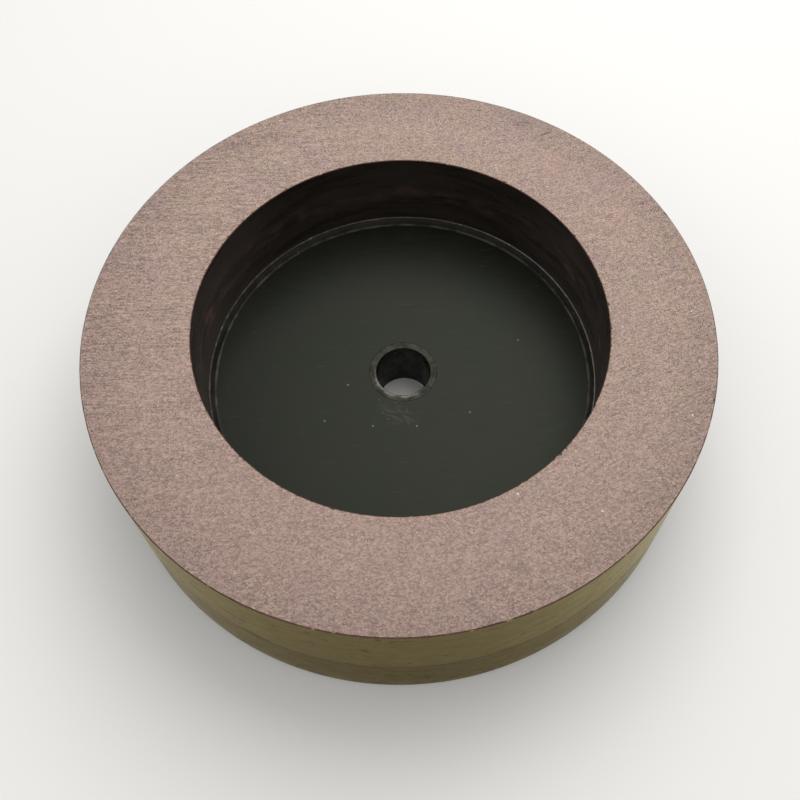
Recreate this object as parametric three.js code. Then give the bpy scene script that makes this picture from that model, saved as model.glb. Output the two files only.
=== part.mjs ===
// Diamond grinding wheel of the straight cup form: an abrasive rim bonded to a moulded backing.
// Units are millimetres. The wheel lies on its back with +Z up. The origin is the centre of the
// back face, and +Z runs along the axis to the grinding face.

import * as THREE from 'three';

// ---- Driving dimensions ----

const wheelDiameter = 130;
const rimWidth = 22; // radial width of the rim where it meets the bond
const rimHeight = 20.5; // from the bond to the grinding face
const rimDraft = 0.15; // how much wider the rim's inner radius is at the mouth than at the bond
const floorThickness = 14; // from the back face to the cup's floor
const recessDepth = 1.5; // from the cup's floor up to the land that carries the rim
const recessDraft = 0.7; // how much wider the recess is at the land than at the floor
const ledgeWidth = 0.3; // how far the land shows inside the rim
const boreDiameter = 12;
const bushWall = 1.6;

// Ring-shaped key under the rim, which sits in a groove in the land and centres the rim.
const keyWidth = 8;
const keyHeight = 1.5;

// Clearances
const bondThickness = 0.3; // the adhesive fills this gap all round the key and over the land
const bushClearance = 0.05; // on the radius

// Edges and corners
const grindingOuterBreak = 0.2;
const grindingInnerBreak = 0.15;
const backEdgeRadius = 1;
const floorCornerRadius = 0.3;
const boreEdgeBreak = 0.3;

// Fineness of the turned surfaces
const turnSegments = 96;
const arcSteps = 4;

// ---- Places worked out from the dimensions ----

const outerRadius = wheelDiameter / 2;
const rimInnerRadius = outerRadius - rimWidth;
const landHeight = floorThickness + recessDepth;
const bondHeight = landHeight + bondThickness;
const grindingHeight = bondHeight + rimHeight;
const keyMidRadius = (outerRadius + rimInnerRadius) / 2;
const boreRadius = boreDiameter / 2;
const bushOuterRadius = boreRadius + bushWall;

// ---- Profile and turning helpers ----

const point = (radius, height) => new THREE.Vector2(radius, height);

// Points of an arc in the profile plane, both ends included.
function arc(centreRadius, centreHeight, radius, startAngle, endAngle) {
  const points = [];
  for (let step = 0; step <= arcSteps; step += 1) {
    const angle = THREE.MathUtils.lerp(startAngle, endAngle, step / arcSteps);
    points.push(point(centreRadius + radius * Math.cos(angle), centreHeight + radius * Math.sin(angle)));
  }
  return points;
}

// The step of the key or of its groove, followed outwards: down, along and up again.
// The gap widens the groove on both sides.
function keyStep(baseHeight, gap) {
  const inner = keyMidRadius - keyWidth / 2 - gap;
  const outer = keyMidRadius + keyWidth / 2 + gap;
  return [
    point(inner, baseHeight),
    point(inner, baseHeight - keyHeight),
    point(outer, baseHeight - keyHeight),
    point(outer, baseHeight),
  ];
}

// Turns a profile of (radius, height) points about the Z axis. The profile runs outwards along
// the piece's underside, up its outside and back over its top, and is closed here.
function turned(name, profile, material) {
  const geometry = new THREE.LatheGeometry([...profile, profile[0]], turnSegments);
  geometry.rotateX(Math.PI / 2);
  const mesh = new THREE.Mesh(geometry, material);
  mesh.name = name;
  return mesh;
}

// ---- Pieces ----

function abrasiveRim() {
  const mouthRadius = rimInnerRadius + rimDraft;
  const profile = [
    point(rimInnerRadius, bondHeight),
    ...keyStep(bondHeight, 0),
    point(outerRadius, bondHeight),
    point(outerRadius, grindingHeight - grindingOuterBreak),
    point(outerRadius - grindingOuterBreak, grindingHeight),
    point(mouthRadius + grindingInnerBreak, grindingHeight),
    point(mouthRadius, grindingHeight - grindingInnerBreak),
  ];
  const material = new THREE.MeshStandardMaterial({ color: 0xaa9388, roughness: 0.9, metalness: 0 });
  return turned('abrasive_rim', profile, material);
}

function bondFilm() {
  const profile = [
    point(rimInnerRadius, landHeight),
    ...keyStep(landHeight, bondThickness),
    point(outerRadius, landHeight),
    point(outerRadius, bondHeight),
    ...keyStep(bondHeight, 0).reverse(),
    point(rimInnerRadius, bondHeight),
  ];
  const material = new THREE.MeshStandardMaterial({ color: 0x4b4842, roughness: 0.45, metalness: 0 });
  return turned('bond_film', profile, material);
}

function backingBody() {
  const bushSeatRadius = bushOuterRadius + bushClearance;
  const recessRadius = rimInnerRadius - ledgeWidth;
  const backEdge = arc(outerRadius - backEdgeRadius, backEdgeRadius, backEdgeRadius, -Math.PI / 2, 0);
  const draftAngle = Math.atan(recessDraft / recessDepth);
  const cornerSetback = floorCornerRadius / Math.tan((Math.PI / 2 + draftAngle) / 2);
  const cornerRadius = recessRadius - recessDraft - cornerSetback;
  const cornerHeight = floorThickness + floorCornerRadius;
  const floorCorner = arc(cornerRadius, cornerHeight, floorCornerRadius, -draftAngle, -Math.PI / 2);
  const profile = [
    point(bushSeatRadius, 0),
    ...backEdge,
    point(outerRadius, landHeight),
    ...keyStep(landHeight, bondThickness).reverse(),
    point(recessRadius, landHeight),
    ...floorCorner,
    point(bushSeatRadius, floorThickness),
  ];
  const material = new THREE.MeshStandardMaterial({ color: 0x1b1d17, roughness: 0.5, metalness: 0 });
  return turned('backing_body', profile, material);
}

function boreBush() {
  const profile = [
    point(boreRadius, boreEdgeBreak),
    point(boreRadius + boreEdgeBreak, 0),
    point(bushOuterRadius, 0),
    point(bushOuterRadius, floorThickness),
    point(boreRadius + boreEdgeBreak, floorThickness),
    point(boreRadius, floorThickness - boreEdgeBreak),
  ];
  const material = new THREE.MeshStandardMaterial({ color: 0x45443d, roughness: 0.5, metalness: 0.7 });
  return turned('bore_bush', profile, material);
}

// ---- The wheel ----

const wheel = new THREE.Group();
wheel.name = 'diamond_grinding_wheel';
wheel.add(abrasiveRim(), bondFilm(), backingBody(), boreBush());

export default wheel;
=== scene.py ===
# Diamond grinding wheel of the straight cup form, on a pale floor under soft light.
# Metres, in the CAD's frame: the wheel lies on its back and +Z is its axis.

import math

import bpy
import numpy as np
from mathutils import Matrix, Vector


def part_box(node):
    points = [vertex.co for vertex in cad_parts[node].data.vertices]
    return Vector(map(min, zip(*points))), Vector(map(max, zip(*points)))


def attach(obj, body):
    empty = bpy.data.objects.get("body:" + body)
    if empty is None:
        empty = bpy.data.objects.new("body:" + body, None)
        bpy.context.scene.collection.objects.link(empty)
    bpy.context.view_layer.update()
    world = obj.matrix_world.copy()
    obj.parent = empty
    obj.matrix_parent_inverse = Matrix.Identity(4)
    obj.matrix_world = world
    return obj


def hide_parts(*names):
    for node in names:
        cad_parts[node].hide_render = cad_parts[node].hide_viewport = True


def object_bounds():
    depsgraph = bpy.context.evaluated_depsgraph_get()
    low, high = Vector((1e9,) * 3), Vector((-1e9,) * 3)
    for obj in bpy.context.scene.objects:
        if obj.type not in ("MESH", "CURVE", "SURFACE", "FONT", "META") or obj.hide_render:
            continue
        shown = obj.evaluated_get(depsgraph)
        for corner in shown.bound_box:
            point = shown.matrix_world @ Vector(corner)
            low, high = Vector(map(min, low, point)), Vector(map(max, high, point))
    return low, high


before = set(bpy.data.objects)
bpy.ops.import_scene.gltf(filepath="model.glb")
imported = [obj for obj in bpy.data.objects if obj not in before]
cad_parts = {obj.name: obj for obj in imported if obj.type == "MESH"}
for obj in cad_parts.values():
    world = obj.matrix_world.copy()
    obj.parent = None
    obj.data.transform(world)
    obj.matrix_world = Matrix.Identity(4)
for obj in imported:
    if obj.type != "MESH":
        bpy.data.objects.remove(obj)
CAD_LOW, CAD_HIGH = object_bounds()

MM = 0.001

# ---- Places taken from the CAD ----

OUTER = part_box("abrasive_rim")[1].x
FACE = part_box("abrasive_rim")[1].z
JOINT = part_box("bond_film")[1].z
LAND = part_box("backing_body")[1].z
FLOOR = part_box("bore_bush")[1].z
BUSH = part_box("bore_bush")[1].x
BACK = CAD_LOW.z

# ---- Sizes of the shapes inside those boxes ----

RIM_WIDTH = 22 * MM
MOUTH_DRAFT = 0.15 * MM
LEDGE = 0.3 * MM
KEY_WIDTH = 8 * MM
KEY_DEPTH = 1.5 * MM
BORE = 6 * MM
BUSH_GAP = 0.05 * MM
OUTER_BREAK = 0.2 * MM
INNER_BREAK = 0.15 * MM
BACK_EDGE = 1 * MM
RECESS_DRAFT = 0.7 * MM
CORNER = 0.3 * MM
BORE_EDGE = 0.3 * MM
BARE_EDGE = 0.2 * MM      # height of the bare strip below the grinding face's outer edge
SPALL_REACH = 0.8 * MM    # how far down the inner wall the chips at its mouth reach
FILM_INSET = 0.03 * MM    # how far the adhesive's outer edge stays inside the wall
BUSH_BACK_CORNER = 0.03 * MM
BUSH_FLOOR_CORNER = 0.02 * MM
LAND_EDGE = 0.05 * MM     # the broken edge where the land meets the recess's slope
SLOPE_FOOT = 0.2 * MM     # how far the slope's look reaches onto the floor

INNER = OUTER - RIM_WIDTH
MOUTH = INNER + MOUTH_DRAFT
RECESS = INNER - LEDGE
KEY_MIDDLE = (OUTER + INNER) / 2
FILM = JOINT - LAND

# Grains of dust on the cup's floor, in mm from the axis.
DUST_GRAINS = [(-12.4, -3.0), (-17.5, -11.8), (-7.0, -13.4), (2.6, -13.8), (14.4, -10.9), (26.7, 7.3)]

# ---- Fineness of the turned meshes ----

SEGMENTS = 1800
ANGLES = np.linspace(0, 2 * math.pi, SEGMENTS, endpoint=False)
ARC_STEPS = 10
WALL_STEPS = 7
BACK_WALL_STEPS = 5
FACE_STEPS = 10
LINE_STEPS = 6
SHARP = math.radians(32)

# ---- The floor, the light and the camera ----

FLOOR_REACH = 4.0
SKY_STRENGTH = 0.68
SOFTBOX_SIZE = 0.4
SOFTBOX_WATTS = 1.15
SOFTBOX_PLACE = (0.10, 0.20, 0.45)

# Angles are in radians, the lens in mm, and the shifts in widths of the picture.
YAW, TILT_DOWN, ROLL = 0.0731, 1.0010, 0.0302
CAMERA_BACK = 0.10887
CAMERA_HEIGHT = 0.16913  # above the grinding face
FOCAL_LENGTH, SENSOR_WIDTH = 43.79, 36
SHIFT_X, SHIFT_Y = -0.05, -0.10
NEAR_CLIP = 0.01


# ---- Random detail round a ring ----

def ripple(size, span, radius, seed):
    """Smooth noise round a ring: its usual height, and the arc over which it changes."""
    white = np.random.default_rng(seed).normal(size=SEGMENTS)
    waves = np.fft.rfftfreq(SEGMENTS, 2 * math.pi * radius / SEGMENTS)
    smooth = np.fft.irfft(np.fft.rfft(white) * np.exp(-((waves * span) ** 2) * 2), SEGMENTS)
    return size * smooth / smooth.std()


def chips(count, depth, width, radius, seed):
    """Shell-shaped chips scattered along an edge, as how deep the edge is cut at each angle."""
    rng = np.random.default_rng(seed)
    cut = np.zeros(SEGMENTS)
    for _ in range(count):
        away = np.abs((ANGLES - rng.uniform(0, 2 * math.pi) + math.pi) % (2 * math.pi) - math.pi)
        deep = depth * rng.uniform(0.25, 1) ** 1.5
        wide = width * rng.uniform(0.3, 1)
        cut = np.maximum(cut, deep * np.clip(1 - (2 * away * radius / wide) ** 2, 0, 1))
    return cut


# ---- Turned meshes ----

def run(start, end, steps, skin):
    """Rows in a straight line of the profile, without the end point."""
    return [
        (start[0] + (end[0] - start[0]) * k / steps, start[1] + (end[1] - start[1]) * k / steps, skin)
        for k in range(steps)
    ]


def fillet(centre, radius, start, end, skin):
    """Rows along an arc of the profile, both ends included. Angles are in degrees."""
    turns = np.radians(np.linspace(start, end, ARC_STEPS + 1))
    return [(centre[0] + radius * math.cos(t), centre[1] + radius * math.sin(t), skin) for t in turns]


def key_rows(base, gap, skin):
    """The key's step or its groove, followed outwards."""
    inner = KEY_MIDDLE - KEY_WIDTH / 2 - gap
    outer = KEY_MIDDLE + KEY_WIDTH / 2 + gap
    foot = base - KEY_DEPTH
    return [(inner, base, skin), (inner, foot, skin), (outer, foot, skin), (outer, base, skin)]


def turned(name, rows, materials):
    """A closed surface of revolution. Each row is a radius, a height and the material after it.

    The rows run outwards along the underside, up the outside and back over the top.
    """
    count = len(rows)
    radius = np.array([np.broadcast_to(row[0], SEGMENTS) for row in rows])
    height = np.array([np.broadcast_to(row[1], SEGMENTS) for row in rows])
    points = np.stack([radius * np.cos(ANGLES), radius * np.sin(ANGLES), height], axis=-1)
    here = np.arange(count)[:, None] * SEGMENTS
    above = (np.arange(count)[:, None] + 1) % count * SEGMENTS
    left = np.arange(SEGMENTS)[None, :]
    right = (left + 1) % SEGMENTS
    quads = np.stack([here + left, here + right, above + right, above + left], axis=-1)
    mesh = bpy.data.meshes.new(name)
    mesh.from_pydata(points.reshape(-1, 3).tolist(), [], quads.reshape(-1, 4).tolist())
    for material in materials:
        mesh.materials.append(material)
    skins = np.repeat([row[2] for row in rows], SEGMENTS)
    mesh.polygons.foreach_set("material_index", skins.astype(np.int32))
    mesh.shade_smooth()
    mesh.set_sharp_from_angle(angle=SHARP)
    mesh.update()
    piece = bpy.data.objects.new(name, mesh)
    bpy.context.scene.collection.objects.link(piece)
    return piece


def place(piece, node, slot):
    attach(piece, "root")
    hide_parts(node)


# ---- Materials ----

class Finish:
    """A principled material, with short names for the nodes that vary it. Its lengths are in mm."""

    def __init__(self, name, **values):
        self.material = bpy.data.materials.new(name)
        self.material.use_nodes = True
        self.tree = self.material.node_tree
        self.shader = self.tree.nodes["Principled BSDF"]
        for socket, value in values.items():
            self.shader.inputs[socket.replace("_", " ")].default_value = value
        places = self.tree.nodes.new("ShaderNodeTexCoord").outputs["Object"]
        self.mm = self.scaled(places, (1 / MM, 1 / MM, 1 / MM))

    def node(self, kind, values, **settings):
        node = self.tree.nodes.new("ShaderNode" + kind)
        for name, value in settings.items():
            setattr(node, name, value)
        for key, value in values.items():
            if isinstance(value, bpy.types.NodeSocket):
                self.tree.links.new(value, node.inputs[key])
            else:
                node.inputs[key].default_value = value
        return node

    def scaled(self, vector, by):
        return self.node("VectorMath", {0: vector, 1: by}, operation="MULTIPLY").outputs[0]

    def moved(self, vector, by):
        return self.node("VectorMath", {0: vector, 1: by}, operation="SUBTRACT").outputs[0]

    def swung(self, vector, degrees):
        """The vector seen from axes turned about Z, whose X points that many degrees from X."""
        values = {"Vector": vector, "Angle": -math.radians(degrees)}
        return self.node("VectorRotate", values, rotation_type="Z_AXIS").outputs[0]

    def noise(self, vector, size, detail, rough):
        values = {"Vector": vector, "Scale": 1 / size, "Detail": detail, "Roughness": rough}
        return self.node("TexNoise", values).outputs["Fac"]

    def cells(self, vector, size):
        return self.node("TexVoronoi", {"Vector": vector, "Scale": 1 / size}).outputs

    def dots(self, vector, spacing, radius, share):
        """Small dots, one in some of the cells of a loose grid."""
        cells = self.cells(vector, spacing)
        chosen = self.ease(self.axis(cells["Color"], "X"), 1 - share, 1 - share + 0.01)
        edge = radius / spacing
        return self.times(chosen, self.ease(cells["Distance"], 0.6 * edge, 1.2 * edge, 1.0, 0.0))

    def sum(self, *parts):
        total = parts[0]
        for part in parts[1:]:
            total = self.node("Math", {0: total, 1: part}, operation="ADD").outputs[0]
        return total

    def times(self, a, b):
        return self.node("Math", {0: a, 1: b}, operation="MULTIPLY").outputs[0]

    def swing(self, value, reach):
        """A number that goes as far as reach either side of 0 as value goes from 0 to 1."""
        values = {0: value, 1: 2 * reach, 2: -reach}
        return self.node("Math", values, operation="MULTIPLY_ADD").outputs[0]

    def ease(self, value, low, high, start=0.0, end=1.0):
        values = {"Value": value, "From Min": low, "From Max": high, "To Min": start, "To Max": end}
        return self.node("MapRange", values, interpolation_type="SMOOTHSTEP").outputs[0]

    def axis(self, vector, name):
        return self.node("SeparateXYZ", {0: vector}).outputs[name]

    def length(self, vector):
        return self.node("VectorMath", {0: vector}, operation="LENGTH").outputs["Value"]

    def patch(self, centre, degrees, long, wide, edge=0.5):
        """1 inside an ellipse on a level surface and 0 outside it."""
        flat = self.scaled(self.mm, (1.0, 1.0, 0.0))
        own = self.swung(self.moved(flat, (centre[0], centre[1], 0.0)), degrees)
        away = self.length(self.scaled(own, (1 / long, 1 / wide, 0.0)))
        return self.ease(away, edge, 1.0, 1.0, 0.0)

    def mix(self, share, a, b):
        return self.node("Mix", {0: share, 6: a, 7: b}, data_type="RGBA").outputs[2]

    def lit(self, colour, by):
        """The colour made brighter or darker by a number."""
        return self.node("VectorMath", {0: colour, "Scale": by}, operation="SCALE").outputs[0]

    def colour(self, value):
        self.tree.links.new(value, self.shader.inputs["Base Color"])

    def roughness(self, value):
        self.tree.links.new(value, self.shader.inputs["Roughness"])

    def bump(self, height, depth):
        """Relief whose height of 1 stands depth metres tall."""
        node = self.node("Bump", {"Height": height, "Distance": depth, "Strength": 1.0})
        self.tree.links.new(node.outputs[0], self.shader.inputs["Normal"])


def rgb(red, green, blue):
    return (red, green, blue, 1.0)


def ground_face():
    """Ground resin bond: packed grit, pits, soft patches of colour and the grinding lay, with painted
    light and shade across it and painted glints.
    """
    f = Finish("ground_abrasive", Specular_IOR_Level=0.3)
    beige, pink, mauve = rgb(0.404, 0.299, 0.243), rgb(0.417, 0.296, 0.248), rgb(0.397, 0.287, 0.251)
    tone = f.mix(f.ease(f.noise(f.mm, 9, 2, 0.5), 0.35, 0.65), beige, pink)
    tone = f.mix(f.ease(f.noise(f.moved(f.mm, (50.0, 0.0, 0.0)), 8, 2, 0.5), 0.45, 0.7), tone, mauve)
    across, away_from_front = f.axis(f.mm, "X"), f.axis(f.mm, "Y")
    # Painted shade: the face is drawn darker towards the front left, away from the softbox.
    painted_shade_front_left = f.ease(f.axis(f.swung(f.mm, -115), "X"), -20, 50, 0.0, 0.6)
    tone = f.mix(painted_shade_front_left, tone, rgb(0.385, 0.268, 0.228))

    grit = f.cells(f.scaled(f.mm, (0.8, 1.0, 1.0)), 0.32)
    grit_tone = f.swing(f.axis(grit["Color"], "X"), 0.22)
    grit_gaps = f.ease(grit["Distance"], 0.15, 0.65, 0.06, -0.12)
    clump = f.noise(f.scaled(f.mm, (0.7, 1.0, 1.0)), 0.4, 2, 0.7)
    fine = f.noise(f.mm, 0.16, 1, 0.6)

    long_lines = f.noise(f.scaled(f.mm, (0.05, 1.0, 1.0)), 0.8, 1, 0.5)
    dashes = f.noise(f.scaled(f.mm, (0.14, 1.0, 1.0)), 0.34, 1, 0.5)
    slanted = f.noise(f.scaled(f.swung(f.mm, 24), (0.12, 1.0, 1.0)), 0.4, 1, 0.5)
    at_left = f.times(f.ease(across, -25, 5, 1.0, 0.25), f.ease(away_from_front, -40, 5, 0.4, 1.0))
    at_right = f.ease(across, 0, 30, 0.15, 0.7)
    lay = f.sum(
        f.times(f.swing(f.ease(long_lines, 0.35, 0.65), 0.05), at_left),
        f.times(f.swing(f.ease(dashes, 0.3, 0.7), 0.14), at_left),
        f.times(f.swing(f.ease(slanted, 0.3, 0.7), 0.10), at_right),
    )
    # Painted light: the face is drawn lighter towards the back right, towards the softbox.
    painted_light_back_right = f.ease(f.axis(f.swung(f.mm, 55), "X"), 10, 60, 0.0, 0.05)
    worn_edge = f.ease(f.length(f.scaled(f.mm, (1.0, 1.0, 0.0))), 52, 65, 0.0, -0.12)
    fine_grain = f.times(f.swing(fine, 1.8), f.ease(away_from_front, -60, 30, 0.4, 1.0))
    light = f.sum(1.0, grit_tone, grit_gaps, f.swing(clump, 0.15), fine_grain, lay, painted_light_back_right, worn_edge)
    tone = f.lit(tone, light)

    pits = f.dots(f.mm, 1.2, 0.2, 0.2)
    specks = f.dots(f.moved(f.mm, (0.3, 0.2, 0.0)), 1.3, 0.17, 0.16)
    tone = f.mix(f.times(pits, 0.6), tone, rgb(0.16, 0.10, 0.085))
    tone = f.mix(f.times(specks, 0.6), tone, rgb(0.68, 0.60, 0.52))
    # Painted glints: sparse white dots stand in for sparkles of light off the grit.
    painted_glints = f.dots(f.moved(f.mm, (0.7, 0.4, 0.0)), 4.0, 0.22, 0.3)
    tone = f.mix(f.times(painted_glints, 0.8), tone, rgb(0.80, 0.74, 0.68))

    smear = f.patch((32.5, 55.0), -24, 9, 3.2)
    tone = f.mix(f.times(smear, 0.4), tone, rgb(0.29, 0.235, 0.215))
    strokes = f.ease(f.noise(f.scaled(f.swung(f.mm, -8), (0.3, 1.0, 1.0)), 0.5, 1, 0.5), 0.52, 0.6)
    strokes = f.times(strokes, f.patch((29.7, 53.8), -5, 3.2, 1.2))
    scratch = f.patch((35.2, 50.3), 24, 3.0, 0.35, 0.4)
    chip = f.patch((-44.0, -30.0), 20, 0.5, 0.3, 0.6)
    marks = f.sum(f.times(strokes, 0.8), f.times(scratch, 0.75), f.times(chip, 0.8))
    tone = f.mix(marks, tone, rgb(0.15, 0.095, 0.085))
    f.colour(tone)

    f.roughness(f.ease(clump, 0.3, 0.7, 0.78, 0.92))
    relief = f.sum(f.swing(clump, 1.0), f.times(lay, 6.0), f.times(grit_gaps, 4.0))
    f.bump(f.sum(relief, f.times(f.sum(pits, marks), -1.5)), 0.015 * MM)
    return f.material


def resin_skin(name, level, varnish, tone, dark, streak):
    """Smooth dark resin of a moulded wall, with short smudges that run round the wall."""
    coat = {"Coat_Weight": 1.0, "Coat_IOR": 1.042, "Coat_Roughness": 0.2, "Coat_Tint": varnish}
    f = Finish(name, Specular_IOR_Level=level, **coat)
    flat = f.scaled(f.mm, (0.45, 0.45, 1.0))
    smudge = f.ease(f.noise(flat, 1.5, 3, 0.6), 0.6, 0.74)
    cloud = f.noise(f.scaled(f.mm, (0.5, 0.5, 1.0)), 7, 3, 0.6)
    colour = f.mix(f.ease(cloud, 0.3, 0.7), tone, dark)
    colour = f.mix(f.times(smudge, 0.5), colour, rgb(0.016, 0.011, 0.006))
    pale = f.ease(f.noise(f.scaled(f.mm, (0.15, 0.15, 1.0)), 0.45, 2, 0.6), 0.68, 0.78)
    colour = f.mix(f.times(pale, 0.3), colour, streak)
    grain = f.swing(f.noise(f.mm, 0.45, 3, 0.65), 0.9)
    moulding = f.swing(f.noise(f.scaled(f.mm, (0.1, 0.1, 1.0)), 0.9, 2, 0.5), 0.7)
    f.colour(f.lit(colour, f.sum(1.0, grain, moulding)))
    wear = f.noise(f.scaled(f.mm, (0.3, 0.3, 1.0)), 1.6, 3, 0.6)
    f.roughness(f.sum(f.ease(wear, 0.3, 0.75, 0.15, 0.30), f.times(smudge, 0.3)))
    f.bump(f.sum(f.noise(flat, 2.2, 3, 0.55), f.times(smudge, -0.25)), 0.012 * MM)
    return f.material


def broken_edge():
    """Bare resin and grit where an edge of the rim is broken."""
    f = Finish("broken_resin", Specular_IOR_Level=0.3)
    grit = f.ease(f.noise(f.mm, 0.5, 3, 0.7), 0.4, 0.62)
    colour = f.mix(grit, rgb(0.060, 0.025, 0.015), rgb(0.13, 0.062, 0.036))
    bits = f.ease(f.axis(f.cells(f.mm, 0.7)["Color"], "X"), 0.94, 0.98)
    f.colour(f.mix(f.times(bits, 0.7), colour, rgb(0.40, 0.27, 0.15)))
    f.roughness(f.ease(grit, 0.0, 1.0, 0.5, 0.8))
    f.bump(f.noise(f.mm, 0.35, 3, 0.6), 0.08 * MM)
    return f.material


def inner_wall():
    """The rim's inner wall: dark reddish resin, streaked round the wall and rubbed at mid-height, with
    painted light towards the sides and darker towards the top.
    """
    f = Finish("inner_resin", Specular_IOR_Level=0.6)
    streak = f.noise(f.scaled(f.mm, (0.12, 0.12, 1.0)), 2.0, 3, 0.6)
    colour = f.mix(f.ease(streak, 0.35, 0.68), rgb(0.016, 0.0115, 0.009), rgb(0.028, 0.0205, 0.0175))
    up = f.axis(f.mm, "Z")
    middle = f.times(f.ease(up, 21, 25), f.ease(up, 25, 29, 1.0, 0.0))
    rubbed = f.ease(f.noise(f.scaled(f.mm, (0.4, 0.4, 1.0)), 2.4, 3, 0.6), 0.46, 0.68)
    rubbed = f.times(rubbed, f.sum(0.12, f.times(middle, 0.45)))
    colour = f.mix(rubbed, colour, rgb(0.085, 0.048, 0.040))
    # Painted light: the wall is drawn up to twice as bright towards the left and right sides; the same
    # factor makes it darker towards the top.
    side = f.node("Math", {0: f.axis(f.mm, "X")}, operation="ABSOLUTE").outputs[0]
    f.colour(f.lit(colour, f.times(f.ease(side, 25, 43, 1.0, 2.0), f.ease(up, 28, 35, 1.0, 0.7))))
    f.roughness(f.ease(streak, 0.3, 0.7, 0.24, 0.4))
    f.bump(f.sum(streak, f.noise(f.scaled(f.mm, (0.4, 0.4, 1.0)), 1.8, 2, 0.5)), 0.006 * MM)
    return f.material


def cup_skin():
    """The moulded cup floor: satin and nearly black, with brushing, a scuff and dust."""
    f = Finish("cup_moulding", Specular_IOR_Level=0.22, Specular_Tint=rgb(0.95, 1.0, 0.82))
    cloud = f.noise(f.mm, 14, 3, 0.6)
    colour = f.mix(f.ease(cloud, 0.3, 0.7), rgb(0.0095, 0.0112, 0.0080), rgb(0.0125, 0.0125, 0.0092))
    brush = f.noise(f.scaled(f.mm, (0.06, 1.0, 1.0)), 0.4, 2, 0.6)
    colour = f.lit(colour, f.sum(1.0, f.swing(brush, 0.5)))
    slant = f.scaled(f.swung(f.mm, -32), (0.4, 1.0, 1.0))
    rubbed = f.ease(f.noise(slant, 0.6, 4, 0.7), 0.42, 0.66)
    scuff = f.times(rubbed, f.patch((-1.5, -11.0), -35, 6.5, 3.5, 0.2))
    colour = f.mix(f.times(scuff, 0.35), colour, rgb(0.10, 0.10, 0.085))
    hairlines = f.ease(f.noise(f.scaled(f.swung(f.mm, 3), (0.07, 1.0, 1.0)), 0.35, 1, 0.5), 0.7, 0.78)
    colour = f.mix(f.times(hairlines, 0.22), colour, rgb(0.10, 0.10, 0.085))
    grains = [f.patch(place, 0, 0.3, 0.25, 0.3) for place in DUST_GRAINS]
    near_bore = f.times(f.dots(f.mm, 0.9, 0.14, 0.4), f.patch((-2.5, -10.0), -30, 8.0, 4.5, 0.5))
    dust = f.sum(f.times(near_bore, 0.5), *grains)
    colour = f.mix(f.times(dust, 0.5), colour, rgb(0.42, 0.43, 0.37))
    f.colour(colour)
    f.roughness(f.sum(0.42, f.swing(brush, 0.1)))
    f.bump(f.sum(f.times(brush, 0.5), f.times(f.noise(f.mm, 5, 3, 0.5), 1.2)), 0.012 * MM)
    return f.material


def recess_edge():
    """The sloping edge of the cup's recess: browner moulding, with a painted highlight line at its
    foot.
    """
    f = Finish("recess_edge", Specular_IOR_Level=0.2)
    stain = f.noise(f.scaled(f.mm, (0.3, 0.3, 1.0)), 1.5, 3, 0.6)
    colour = f.mix(f.ease(stain, 0.35, 0.68), rgb(0.013, 0.0118, 0.009), rgb(0.029, 0.025, 0.019))
    # Painted highlight: a pale line at the foot of the slope stands in for the light caught by the
    # corner's fillet.
    foot = f.times(f.ease(f.axis(f.mm, "Z"), 14.05, 14.4, 1.0, 0.0), f.ease(stain, 0.4, 0.6, 0.15, 1.0))
    colour = f.mix(foot, colour, rgb(0.075, 0.072, 0.060))
    crumbs = f.dots(f.mm, 1.3, 0.16, 0.3)
    f.colour(f.mix(f.times(crumbs, 0.6), colour, rgb(0.24, 0.23, 0.20)))
    f.roughness(f.ease(stain, 0.3, 0.7, 0.4, 0.6))
    f.bump(stain, 0.02 * MM)
    return f.material


def cured_adhesive():
    """Adhesive squeezed out at the joint: dull grey brown, with pale crumbs and painted light that
    makes one side paler.
    """
    f = Finish("cured_adhesive", Specular_IOR_Level=0.5)
    mottle = f.ease(f.noise(f.mm, 1.2, 3, 0.65), 0.35, 0.65)
    colour = f.mix(mottle, rgb(0.050, 0.045, 0.036), rgb(0.11, 0.100, 0.083))
    # Painted light: the bead is drawn paler on its right side, where the light falls.
    painted_light_right_side = f.ease(f.axis(f.swung(f.mm, 15), "X"), 22, 40, 0.0, 0.8)
    colour = f.mix(painted_light_right_side, colour, rgb(0.25, 0.24, 0.21))
    white = f.ease(f.noise(f.mm, 1.1, 3, 0.6), 0.58, 0.72)
    f.colour(f.mix(f.times(white, 0.6), colour, rgb(0.5, 0.48, 0.44)))
    f.roughness(f.ease(mottle, 0.0, 1.0, 0.35, 0.55))
    f.bump(f.noise(f.mm, 0.7, 3, 0.6), 0.05 * MM)
    return f.material


def turned_metal():
    """Dark turned metal of the bush, stained and dull, with a painted highlight at the bore's near
    edge.
    """
    f = Finish("dull_turned_metal", Metallic=1.0)
    away = f.length(f.scaled(f.mm, (1.0, 1.0, 0.0)))
    ring_values = {"W": f.times(away, 5.0), "Detail": 2.0}
    rings = f.node("TexNoise", ring_values, noise_dimensions="1D").outputs["Fac"]
    stain = f.ease(f.noise(f.mm, 2.0, 3, 0.6), 0.35, 0.7)
    colour = f.mix(stain, rgb(0.038, 0.037, 0.030), rgb(0.027, 0.0265, 0.021))
    # Painted highlight: a brighter arc at the bore's near edge stands in for the light caught by its
    # rounded edge.
    near = f.ease(f.axis(f.swung(f.mm, -25), "Y"), -5.5, -1, 1.0, 0.0)
    painted_highlight = f.times(near, f.ease(f.sum(away, f.times(stain, 0.4)), 6.3, 7.2, 1.0, 0.0))
    top = f.ease(f.axis(f.mm, "Z"), 13.3, 13.8)
    colour = f.mix(f.times(painted_highlight, f.times(top, 0.8)), colour, rgb(0.15, 0.145, 0.125))
    f.colour(f.lit(colour, f.sum(1.0, f.swing(rings, 0.5))))
    f.roughness(f.ease(stain, 0.0, 1.0, 0.42, 0.55))
    f.bump(rings, 0.01 * MM)
    return f.material


# ---- Pieces ----

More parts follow.
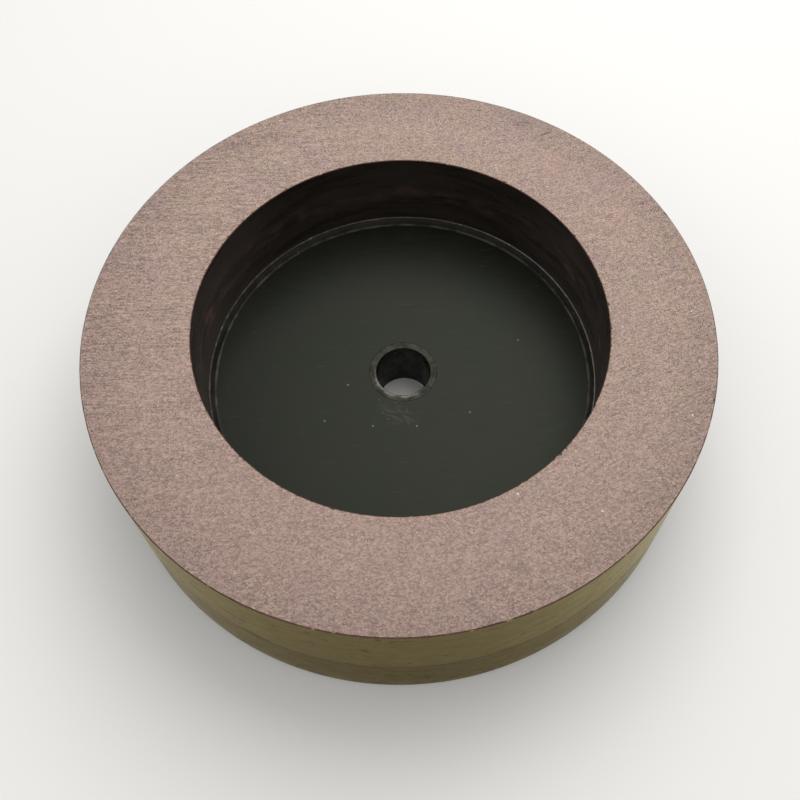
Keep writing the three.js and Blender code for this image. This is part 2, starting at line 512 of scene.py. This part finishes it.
def abrasive_rim():
    FLAT, WALL, EDGE, CUP = range(4)
    nicks = chips(60, 0.10 * MM, 1.6 * MM, OUTER, 11) + chips(9, 0.35 * MM, 1.8 * MM, OUTER, 12)
    dents = chips(24, 0.16 * MM, 2.4 * MM, OUTER, 13) + np.abs(ripple(0.03 * MM, 1.8 * MM, OUTER, 14))
    ragged = chips(160, 0.12 * MM, 0.9 * MM, MOUTH, 15) + chips(16, 0.45 * MM, 1.2 * MM, MOUTH, 16)
    spalls = chips(130, 0.14 * MM, 1.0 * MM, MOUTH, 17) + np.abs(ripple(0.03 * MM, 0.5 * MM, MOUTH, 18))
    wave = ripple(0.02 * MM, 9 * MM, OUTER, 19)
    wall_top = FACE - OUTER_BREAK - dents
    wall = []
    for k in range(WALL_STEPS):
        up = k / WALL_STEPS
        dip = np.abs(wave) * math.sin(math.pi * up)
        wall.append((OUTER - dip, JOINT + (wall_top - JOINT) * up, WALL))
    rows = [(INNER, JOINT, CUP)] + key_rows(JOINT, 0, CUP) + wall
    rows += [(OUTER, wall_top - BARE_EDGE, EDGE), (OUTER, wall_top, EDGE)]
    rows += [(OUTER - 0.55 * OUTER_BREAK - 0.3 * nicks, FACE - 0.35 * OUTER_BREAK, EDGE)]
    rim_end, mouth_end = OUTER - OUTER_BREAK - nicks, MOUTH + INNER_BREAK + ragged
    rows += run((rim_end, FACE), (mouth_end, FACE), FACE_STEPS, FLAT)
    rows += [(mouth_end, FACE, EDGE)]
    rows += [(MOUTH + 0.4 * ragged, FACE - 0.5 * INNER_BREAK, EDGE)]
    rows += [(MOUTH, FACE - INNER_BREAK - spalls, CUP)]
    rows += run((MOUTH, FACE - INNER_BREAK - SPALL_REACH), (INNER, JOINT), LINE_STEPS, CUP)
    varnish, streak = rgb(0.95, 0.885, 0.63), rgb(0.16, 0.13, 0.07)
    brown, dark_brown = rgb(0.026, 0.0165, 0.009), rgb(0.012, 0.0078, 0.0042)
    skin = resin_skin("rim_skin", 0.24, varnish, brown, dark_brown, streak)
    materials = [ground_face(), skin, broken_edge(), inner_wall()]
    place(turned("abrasive_rim_look", rows, materials), "abrasive_rim", "abrasive")


def bond_film():
    bead = 0.12 * MM + np.abs(ripple(0.05 * MM, 1.5 * MM, INNER, 31))
    rows = [(INNER - bead, LAND, 0)]
    rows += key_rows(LAND, FILM, 0)
    rows += [(OUTER - FILM_INSET, LAND, 0), (OUTER - FILM_INSET, JOINT, 0)]
    rows += list(reversed(key_rows(JOINT, 0, 0)))
    rows += [(INNER - 0.3 * bead, JOINT, 0), (INNER - bead, JOINT - 0.4 * FILM, 0)]
    place(turned("bond_film_look", rows, [cured_adhesive()]), "bond_film", "adhesive")


def backing_body():
    seat = BUSH + BUSH_GAP
    WALL, CUP, SLOPE = range(3)
    lean = math.atan(RECESS_DRAFT / (LAND - FLOOR))
    setback = CORNER / math.tan((math.pi / 2 + lean) / 2)
    corner = (RECESS - RECESS_DRAFT - setback, FLOOR + CORNER)
    rows = run((seat, BACK), (OUTER - BACK_EDGE, BACK), LINE_STEPS, WALL)
    rows += fillet((OUTER - BACK_EDGE, BACK + BACK_EDGE), BACK_EDGE, -90, 0, WALL)
    rows += [(OUTER, LAND * k / BACK_WALL_STEPS, WALL) for k in range(2, BACK_WALL_STEPS + 1)]
    rows += list(reversed(key_rows(LAND, FILM, CUP)))
    rows += [(RECESS + LAND_EDGE, LAND, CUP), (RECESS - 0.4 * LAND_EDGE, LAND - LAND_EDGE, SLOPE)]
    rows += fillet(corner, CORNER, -math.degrees(lean), -90, SLOPE)
    rows += run((corner[0] - SLOPE_FOOT, FLOOR), (seat, FLOOR), LINE_STEPS, CUP)
    rows += [(seat, FLOOR, CUP)]
    # Painted shade: these colours make a darker copy of the rim's resin skin, so the wall is darker
    # towards the floor.
    varnish, streak = rgb(0.90, 0.83, 0.57), rgb(0.12, 0.10, 0.05)
    brown, dark_brown = rgb(0.022, 0.016, 0.0096), rgb(0.011, 0.0080, 0.005)
    skin = resin_skin("backing_skin_painted_shade", 0.15, varnish, brown, dark_brown, streak)
    piece = turned("backing_body_look", rows, [skin, cup_skin(), recess_edge()])
    place(piece, "backing_body", "backing")


def bore_bush():
    rows = [(BORE + BORE_EDGE, BACK, 0)]
    rows += [(BUSH - BUSH_BACK_CORNER, BACK, 0), (BUSH, BACK + BUSH_BACK_CORNER, 0)]
    rows += [(BUSH, FLOOR - BUSH_FLOOR_CORNER, 0), (BUSH - BUSH_FLOOR_CORNER, FLOOR, 0)]
    rows += fillet((BORE + BORE_EDGE, FLOOR - BORE_EDGE), BORE_EDGE, 90, 180, 0)
    rows += run((BORE, FLOOR - 1.5 * BORE_EDGE), (BORE, BACK + BORE_EDGE), LINE_STEPS, 0)
    rows += fillet((BORE + BORE_EDGE, BACK + BORE_EDGE), BORE_EDGE, 180, 270, 0)[:-1]
    place(turned("bore_bush_look", rows, [turned_metal()]), "bore_bush", "bush")


# ---- The stage ----

def pale_floor():
    mesh = bpy.data.meshes.new("floor")
    signs = [(-1, -1), (1, -1), (1, 1), (-1, 1)]
    corners = [(x * FLOOR_REACH, y * FLOOR_REACH, BACK) for x, y in signs]
    mesh.from_pydata(corners, [], [(0, 1, 2, 3)])
    f = Finish("pale_floor", Base_Color=rgb(0.93, 0.92, 0.89), Roughness=0.8)
    mesh.materials.append(f.material)
    ground = bpy.data.objects.new("floor", mesh)
    bpy.context.scene.collection.objects.link(ground)


def soft_light():
    world = bpy.data.worlds.new("studio")
    bpy.context.scene.world = world
    world.use_nodes = True
    sky = world.node_tree.nodes["Background"].inputs
    sky["Color"].default_value = rgb(1, 1, 1)
    sky["Strength"].default_value = SKY_STRENGTH
    lamp = bpy.data.lights.new("softbox", "AREA")
    lamp.shape = "SQUARE"
    lamp.size = SOFTBOX_SIZE
    lamp.energy = SOFTBOX_WATTS
    box = bpy.data.objects.new("softbox", lamp)
    box.location = SOFTBOX_PLACE
    box.rotation_euler = box.location.to_track_quat("Z", "Y").to_euler()
    bpy.context.scene.collection.objects.link(box)


def camera():
    level = math.cos(TILT_DOWN)
    ahead = Vector((math.sin(YAW) * level, math.cos(YAW) * level, -math.sin(TILT_DOWN)))
    across = Vector((math.cos(YAW), -math.sin(YAW), 0))
    over = across.cross(ahead)
    x_axis = math.cos(ROLL) * across + math.sin(ROLL) * over
    y_axis = -math.sin(ROLL) * across + math.cos(ROLL) * over
    turn = Matrix((x_axis, y_axis, -ahead)).transposed().to_4x4()
    lens = bpy.data.cameras.new("camera")
    lens.lens = FOCAL_LENGTH
    lens.sensor_width = SENSOR_WIDTH
    lens.shift_x = SHIFT_X
    lens.shift_y = SHIFT_Y
    lens.clip_start = NEAR_CLIP
    view = bpy.data.objects.new("camera", lens)
    view.matrix_world = Matrix.Translation((0, -CAMERA_BACK, FACE + CAMERA_HEIGHT)) @ turn
    bpy.context.scene.collection.objects.link(view)
    bpy.context.scene.camera = view


abrasive_rim()
bond_film()
backing_body()
bore_bush()
pale_floor()
soft_light()
camera()
bpy.context.scene.view_settings.view_transform = "Standard"
